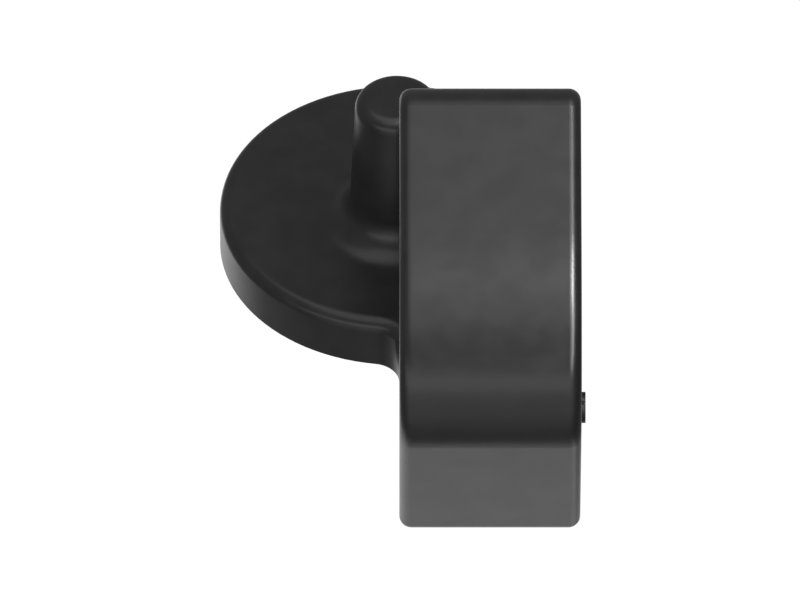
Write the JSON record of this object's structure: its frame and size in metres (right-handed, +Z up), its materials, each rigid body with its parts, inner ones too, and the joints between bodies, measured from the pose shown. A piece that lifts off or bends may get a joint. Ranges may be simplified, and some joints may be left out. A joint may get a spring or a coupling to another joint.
{
  "type": "seat back latch",
  "caption": "Seat back latch: moulded cover with a round plate, tapered post and round-nosed block over a sprung hook that catches a striker bar, turned by a slotted spindle.",
  "frame": {"origin": "centre of the round plate's lower face, in the middle of the three fixing bolts, on the mounting plane", "axes": "+Z up along the tapered post, away from the mounting plane; X along the hook's spindle, whose slotted end faces +X; the block's large rounded face looks towards -Y"},
  "size_m": [0.0728, 0.1163, 0.079],
  "materials": {
    "cover_plastic": "black moulded plastic, fine grain, satin",
    "rear_cover_plastic": "black moulded plastic, satin",
    "plated_steel": "zinc plated sheet",
    "fastener_steel": "plated, semi-bright",
    "machined_steel": "turned",
    "hook_steel": "hardened, dark",
    "spindle_steel": "blackened, satin",
    "spring_steel": "oiled spring wire",
    "black_rubber": "matt",
    "bush_plastic": "natural acetal"
  },
  "bodies": {
    "frame": {"cover": "cover_plastic", "rear_cover": "rear_cover_plastic", "base_plate": "plated_steel", "side_plate_left": "plated_steel", "side_plate_right": "plated_steel", "foot_screws": "fastener_steel", "foot_nuts": "fastener_steel", "cover_screws": "fastener_steel", "post_core": "machined_steel", "fixing_nuts": "fastener_steel", "spacer_pillars": "machined_steel", "pillar_screws": "fastener_steel", "hook_stop": "black_rubber", "spindle_bush_left": "bush_plastic", "spindle_bush_right": "bush_plastic", "spindle_seal": "black_rubber", "cable_bracket": "plated_steel", "striker_buffer": "black_rubber", "cable_grommet": "black_rubber", "hook_spring": "spring_steel"},
    "hook": {"latch_hook": "hook_steel", "release_spindle": "spindle_steel", "spindle_clip": "spring_steel", "spindle_spacer": "bush_plastic", "release_arm": "plated_steel"}
  },
  "joints": [
    {"name": "hook_turn", "type": "hinge", "parent": "frame", "child": "hook", "pos_m": [0.018, -0.0613, 0.0123], "axis": [1, 0, 0], "range_deg": [0, 28], "stiffness_Nm_per_rad": 0.15, "springref_deg": -34.38, "deforming": ["hook_spring"]}
  ]
}
